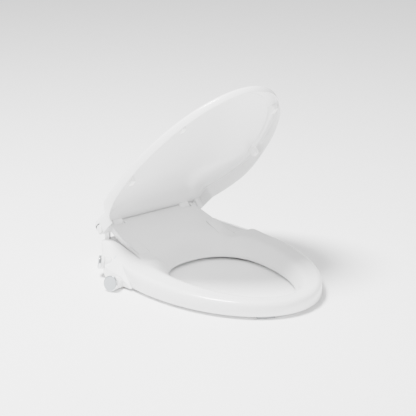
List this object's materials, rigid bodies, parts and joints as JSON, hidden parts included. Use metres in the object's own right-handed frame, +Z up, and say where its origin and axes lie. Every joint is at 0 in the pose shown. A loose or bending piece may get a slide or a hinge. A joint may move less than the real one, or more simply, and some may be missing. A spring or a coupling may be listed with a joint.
{
  "type": "bidet seat",
  "caption": "Elongated hinged toilet seat and lid on a slim base with side-mounted water control knobs and retracting wash nozzles; no power.",
  "frame": {"origin": "midpoint of the two bowl bolts, on the bowl's top face", "axes": "+Z up, -Y towards the seat's nose, -X towards the sitter's right hand, where the knobs are"},
  "size_m": [0.4231, 0.5245, 0.4284],
  "materials": {
    "white_gloss_plastic": "gloss",
    "white_satin_plastic": "satin",
    "grey_satin_plastic": "satin",
    "chrome_trim": "polished",
    "brass": "machined",
    "stainless_steel": "brushed",
    "dark_plastic": "matte",
    "white_rubber": "matte",
    "grey_rubber": "matte",
    "clear_tube": "satin"
  },
  "bodies": {
    "base": {"control_pod": "white_gloss_plastic", "side_wing": "white_gloss_plastic", "base_tray": "white_satin_plastic", "mounting_plate": "white_satin_plastic", "base_cover": "white_gloss_plastic", "nozzle_shield": "white_satin_plastic", "nozzle_guide": "white_satin_plastic", "hinge_cheek_right": "white_satin_plastic", "hinge_cheek_left": "white_satin_plastic", "hinge_pin_right": "stainless_steel", "hinge_pin_left": "stainless_steel", "base_foot_front_right": "grey_rubber", "base_foot_front_left": "grey_rubber", "base_foot_rear_right": "grey_rubber", "base_foot_rear_left": "grey_rubber", "flow_valve": "brass", "selector_valve": "brass", "inlet_fitting": "brass", "supply_tube": "clear_tube", "link_tube": "clear_tube", "rear_wash_tube": "clear_tube", "front_wash_tube": "clear_tube", "nozzle_rear_spring": "stainless_steel", "nozzle_front_spring": "stainless_steel"},
    "seat": {"seat_shell": "white_gloss_plastic", "seat_bottom_cover": "white_satin_plastic", "seat_cover_screws": "stainless_steel", "seat_buffer_front_right": "grey_rubber", "seat_buffer_front_left": "grey_rubber", "seat_buffer_rear_right": "grey_rubber", "seat_buffer_rear_left": "grey_rubber", "seat_damper_right": "dark_plastic", "seat_damper_left": "dark_plastic"},
    "lid": {"lid_shell": "white_gloss_plastic", "lid_bumper_front_right": "white_rubber", "lid_bumper_front_left": "white_rubber", "lid_bumper_side_right": "white_rubber", "lid_bumper_side_left": "white_rubber", "lid_damper_right": "dark_plastic", "lid_damper_left": "dark_plastic", "lid_ear_cap_right": "white_gloss_plastic", "lid_ear_cap_left": "white_gloss_plastic"},
    "nozzle_rear": {"nozzle_rear": "white_gloss_plastic", "nozzle_rear_tip": "chrome_trim"},
    "nozzle_front": {"nozzle_front": "white_gloss_plastic", "nozzle_front_tip": "chrome_trim"},
    "front_knob": {"front_knob": "white_gloss_plastic", "front_knob_ring": "chrome_trim", "front_knob_cap": "grey_satin_plastic", "front_spindle": "brass"},
    "rear_knob": {"rear_knob": "white_gloss_plastic", "rear_knob_ring": "chrome_trim", "rear_knob_cap": "grey_satin_plastic", "rear_spindle": "brass"}
  },
  "joints": [
    {"name": "seat_hinge", "type": "hinge", "parent": "base", "child": "seat", "pos_m": [0, 0.028, 0.0725], "axis": [-1, 0, 0], "range_deg": [0, 100]},
    {"name": "lid_hinge", "type": "hinge", "parent": "seat", "child": "lid", "pos_m": [0, 0.028, 0.0725], "axis": [1, 0, 0], "range_deg": [-58, 50.4]},
    {"name": "nozzle_rear_slide", "type": "slide", "parent": "base", "child": "nozzle_rear", "axis": [0, -0.8829, -0.4695], "range_m": [0, 0.046], "stiffness_N_per_m": 20, "springref_m": -0.02, "deforming": ["nozzle_rear_spring"]},
    {"name": "nozzle_front_slide", "type": "slide", "parent": "base", "child": "nozzle_front", "axis": [0, -0.8829, -0.4695], "range_m": [0, 0.046], "stiffness_N_per_m": 20, "springref_m": -0.02, "deforming": ["nozzle_front_spring"]},
    {"name": "front_knob_turn", "type": "hinge", "parent": "base", "child": "front_knob", "pos_m": [-0.222, -0.128, 0.0175], "axis": [-0.9046, -0.3299, 0.2699], "range_deg": [-90, 90]},
    {"name": "rear_knob_turn", "type": "hinge", "parent": "base", "child": "rear_knob", "pos_m": [-0.191, -0.042, 0.032], "axis": [-0.8144, 0.5599, 0.1527], "range_deg": [-90, 90]}
  ]
}
